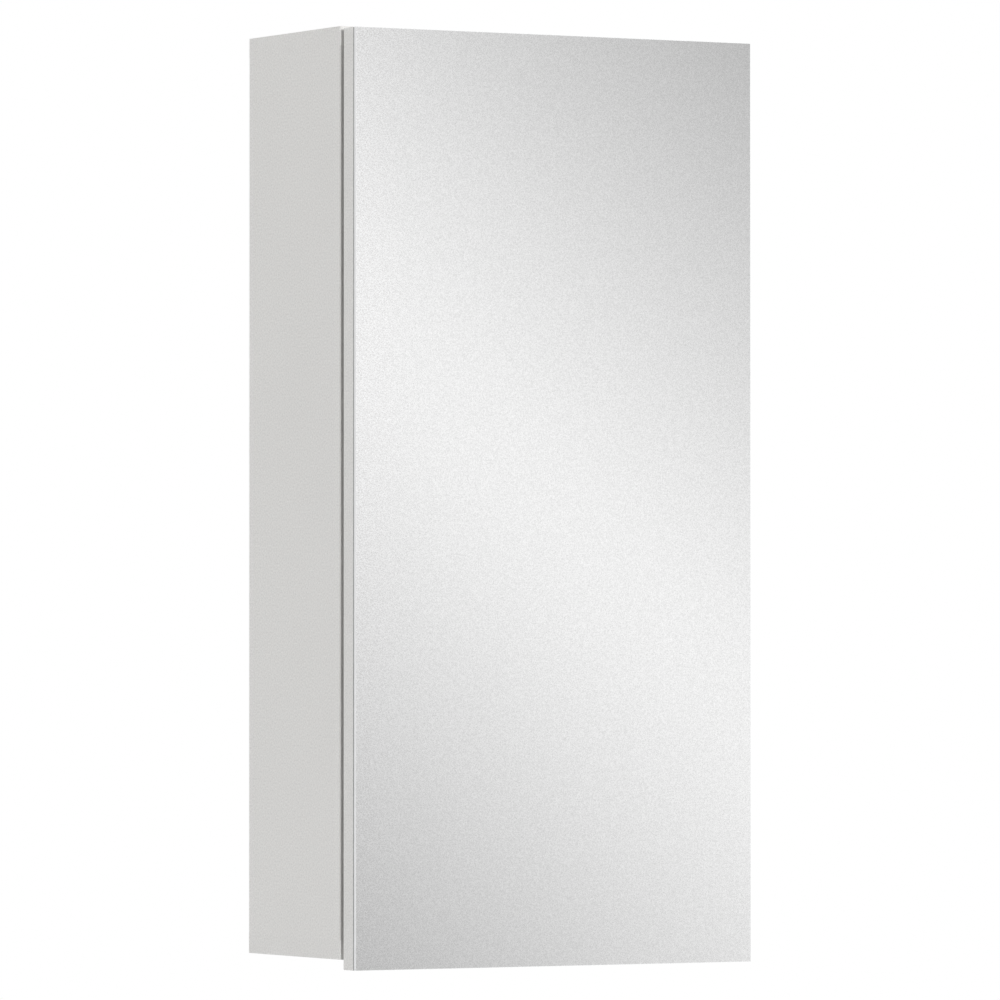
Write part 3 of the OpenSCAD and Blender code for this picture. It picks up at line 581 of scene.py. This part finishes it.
def studio_band(tree, direction):
    """The brightness that a reflecting surface sees in a direction: soft slanting bands."""
    along = tree.vector_math("DOT_PRODUCT", direction, BAND_AXIS, output="Value")
    away = tree.math("PINGPONG", tree.math("ADD", along, BAND_SHIFT), BAND_PERIOD / 2)
    limited = tree.math("SMOOTH_MIN", away, BAND_DEPTH, BAND_SOFTNESS)
    square = tree.math("MULTIPLY_ADD", limited, limited, BAND_ROUNDING**2)
    fall = tree.math("MULTIPLY", tree.math("SQRT", square), BAND_FALL)
    tone = tree.math("SUBTRACT", BAND_TOP + BAND_FALL * BAND_ROUNDING, fall)
    return tree.math("DIVIDE", tree.math("POWER", tone, DISPLAY_GAMMA), SILVER_MEAN)


def make_world():
    """Even ambient light, white behind the object, and soft bands for what reflects."""
    world = bpy.data.worlds.new("studio")
    bpy.context.scene.world = world
    world.use_nodes = True
    tree = Tree(world.node_tree)

    def background(strength):
        """White light of a strength."""
        return tree.shader("ShaderNodeBackground", {"Color": grey(1.0), "Strength": strength})

    path = tree.node("ShaderNodeLightPath").outputs
    direction = tree.node("ShaderNodeTexCoord").outputs["Generated"]
    bands = background(studio_band(tree, direction))
    light = tree.mix(path["Is Glossy Ray"], background(AMBIENT), bands)
    through = tree.math("MULTIPLY", path["Is Transmission Ray"], unscattered(tree, path))
    behind = tree.math("MAXIMUM", path["Is Camera Ray"], through)
    tree.finish("ShaderNodeOutputWorld", tree.mix(behind, light, background(BACKDROP)))


def make_lamp(name, strength, width, heading, elevation):
    """A distant soft lamp that shines from a heading and elevation."""
    data = bpy.data.lights.new(name, "SUN")
    data.energy = strength
    data.angle = math.radians(width)
    lamp = bpy.data.objects.new(name, data)
    bpy.context.scene.collection.objects.link(lamp)
    around, up = math.radians(heading), math.radians(elevation)
    level = math.cos(up)
    source = Vector((math.sin(around) * level, -math.cos(around) * level, math.sin(up)))
    lamp.rotation_euler = source.to_track_quat("Z", "Y").to_euler()
    lamp.visible_glossy = False
    lamp.visible_transmission = False


def make_camera():
    """The camera at the photograph's viewing angle."""
    data = bpy.data.cameras.new("camera")
    data.lens = CAMERA_LENS_MM
    data.sensor_width = CAMERA_SENSOR_MM
    data.clip_end = CAMERA_REACH
    camera = bpy.data.objects.new("camera", data)
    camera.location = CAMERA_PLACE
    tilt, turn = math.radians(90 + CAMERA_PITCH), math.radians(CAMERA_HEADING)
    camera.rotation_euler = Euler((tilt, 0.0, turn))
    bpy.context.scene.collection.objects.link(camera)
    bpy.context.scene.camera = camera


bpy.context.scene.view_settings.view_transform = "Standard"
make_camera()
make_world()
for lamp_name, settings in LAMPS.items():
    make_lamp(lamp_name, *settings)
make_floor()
dress_nodes(make_materials())
for width_mm, names in SOFTENED:
    for node_name in names:
        soften(NODES[node_name], width_mm * MM)
for node_name in CLEAR_PIECES:
    NODES[node_name].visible_shadow = False
